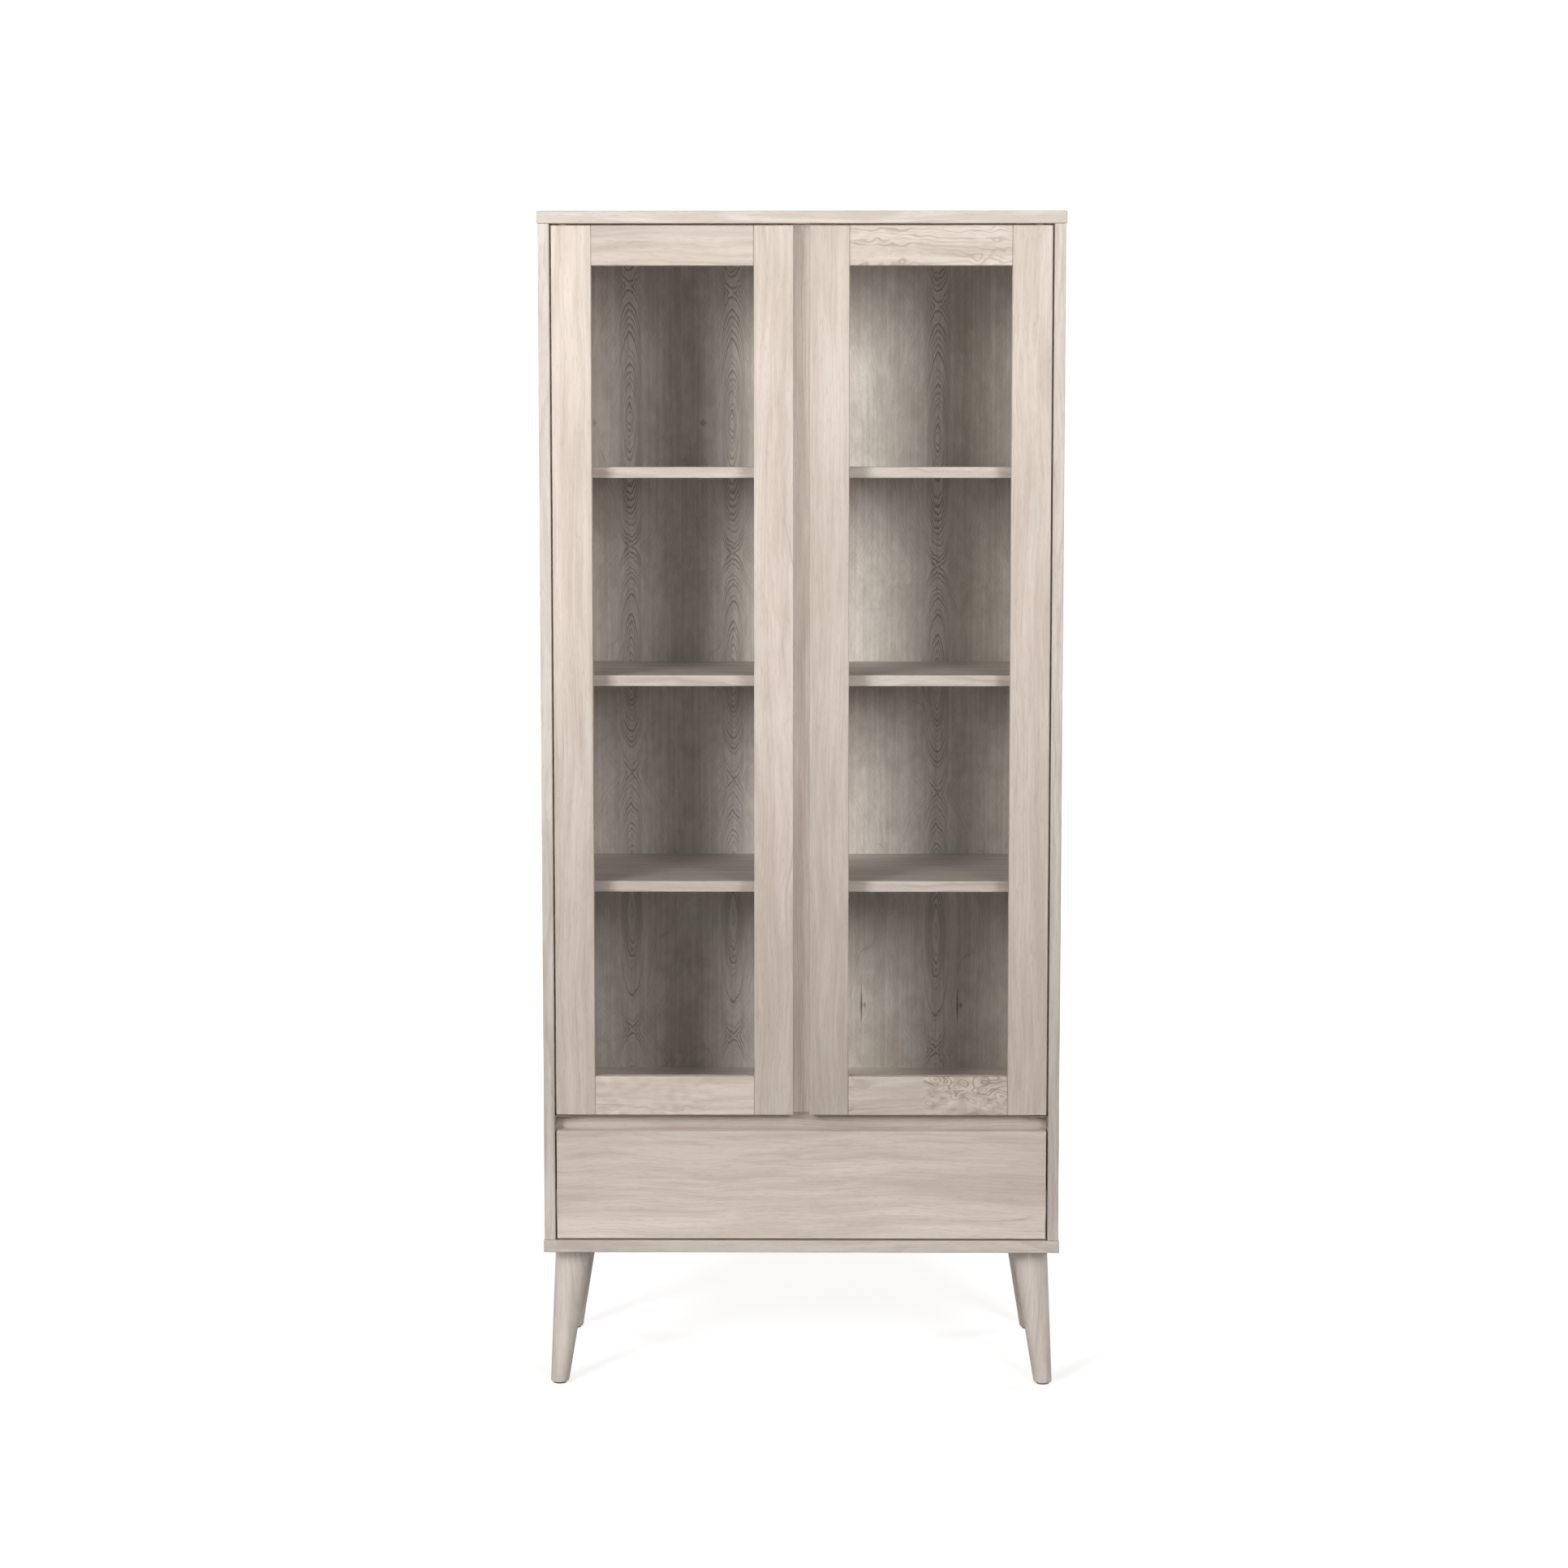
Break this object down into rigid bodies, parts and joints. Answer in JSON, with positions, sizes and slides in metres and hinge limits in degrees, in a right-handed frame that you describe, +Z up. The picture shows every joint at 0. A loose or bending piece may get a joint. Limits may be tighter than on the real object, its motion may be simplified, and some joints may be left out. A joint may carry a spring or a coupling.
{
  "type": "display cabinet",
  "caption": "Tall pale oak display cabinet with framed glass doors over a drawer, inner shelves and splayed tapered legs.",
  "frame": {"origin": "on the floor, under the middle of the case", "axes": "+Z up, -Y towards the front of the doors, +X to the right seen from the front"},
  "size_m": [0.85, 0.4, 1.931],
  "materials": {
    "pale_oak": "white-oiled, silky matt",
    "oak_back": "white-oiled veneer, matt",
    "birch": "clear lacquer, satin",
    "clear_glass": "clear float glass, polished",
    "zinc_steel": "zinc plated, satin",
    "nickel": "nickel plated",
    "dark_bracket": "dark bronze powder coat, matt",
    "glide_plastic": "matt"
  },
  "bodies": {
    "case": {"back_left_leg": "pale_oak", "back_left_leg_bolt": "zinc_steel", "back_left_leg_glide": "glide_plastic", "back_panel": "oak_back", "back_right_leg": "pale_oak", "back_right_leg_bolt": "zinc_steel", "back_right_leg_glide": "glide_plastic", "bottom_board": "pale_oak", "centre_stile": "pale_oak", "drawer_rail": "pale_oak", "floor_board": "pale_oak", "front_left_leg": "pale_oak", "front_left_leg_bolt": "zinc_steel", "front_left_leg_glide": "glide_plastic", "front_right_leg": "pale_oak", "front_right_leg_bolt": "zinc_steel", "front_right_leg_glide": "glide_plastic", "left_door_catch_magnet": "nickel", "left_door_lower_pivot": "dark_bracket", "left_door_upper_pivot": "zinc_steel", "left_runner_outer": "zinc_steel", "left_side": "pale_oak", "lower_shelf": "pale_oak", "middle_shelf": "pale_oak", "right_door_catch_magnet": "nickel", "right_door_lower_pivot": "dark_bracket", "right_door_upper_pivot": "zinc_steel", "right_runner_outer": "zinc_steel", "right_side": "pale_oak", "top_board": "pale_oak", "upper_shelf": "pale_oak"},
    "left_door": {"left_door_bottom_rail": "pale_oak", "left_door_catch_plate": "nickel", "left_door_glass": "clear_glass", "left_door_glass_bead": "pale_oak", "left_door_hinge_stile": "pale_oak", "left_door_lower_bush": "zinc_steel", "left_door_meeting_stile": "pale_oak", "left_door_top_rail": "pale_oak", "left_door_upper_bush": "zinc_steel"},
    "right_door": {"right_door_bottom_rail": "pale_oak", "right_door_catch_plate": "nickel", "right_door_glass": "clear_glass", "right_door_glass_bead": "pale_oak", "right_door_hinge_stile": "pale_oak", "right_door_lower_bush": "zinc_steel", "right_door_meeting_stile": "pale_oak", "right_door_top_rail": "pale_oak", "right_door_upper_bush": "zinc_steel"},
    "drawer": {"drawer_back": "birch", "drawer_bottom": "birch", "drawer_front": "pale_oak", "drawer_inner_front": "birch", "drawer_left_side": "birch", "drawer_right_side": "birch", "left_runner_inner": "zinc_steel", "right_runner_inner": "zinc_steel"},
    "left_runner_middle": {"left_runner_middle": "zinc_steel"},
    "right_runner_middle": {"right_runner_middle": "zinc_steel"}
  },
  "joints": [
    {"name": "left_door_hinge", "type": "hinge", "parent": "case", "child": "left_door", "pos_m": [-0.3825, -0.1885, 0.461], "axis": [0, 0, -1], "range_deg": [0, 110]},
    {"name": "right_door_hinge", "type": "hinge", "parent": "case", "child": "right_door", "pos_m": [0.3825, -0.1885, 0.461], "axis": [0, 0, 1], "range_deg": [0, 110]},
    {"name": "drawer_slide", "type": "slide", "parent": "case", "child": "drawer", "axis": [0, -1, 0], "range_m": [0, 0.28]},
    {"name": "left_runner_slide", "type": "slide", "parent": "case", "child": "left_runner_middle", "axis": [0, -1, 0], "range_m": [0, 0.14]},
    {"name": "right_runner_slide", "type": "slide", "parent": "case", "child": "right_runner_middle", "axis": [0, -1, 0], "range_m": [0, 0.14]}
  ],
  "couplings": [
    {"joint": "left_runner_slide", "follows": "drawer_slide", "ratio": 0.5},
    {"joint": "right_runner_slide", "follows": "drawer_slide", "ratio": 0.5}
  ]
}
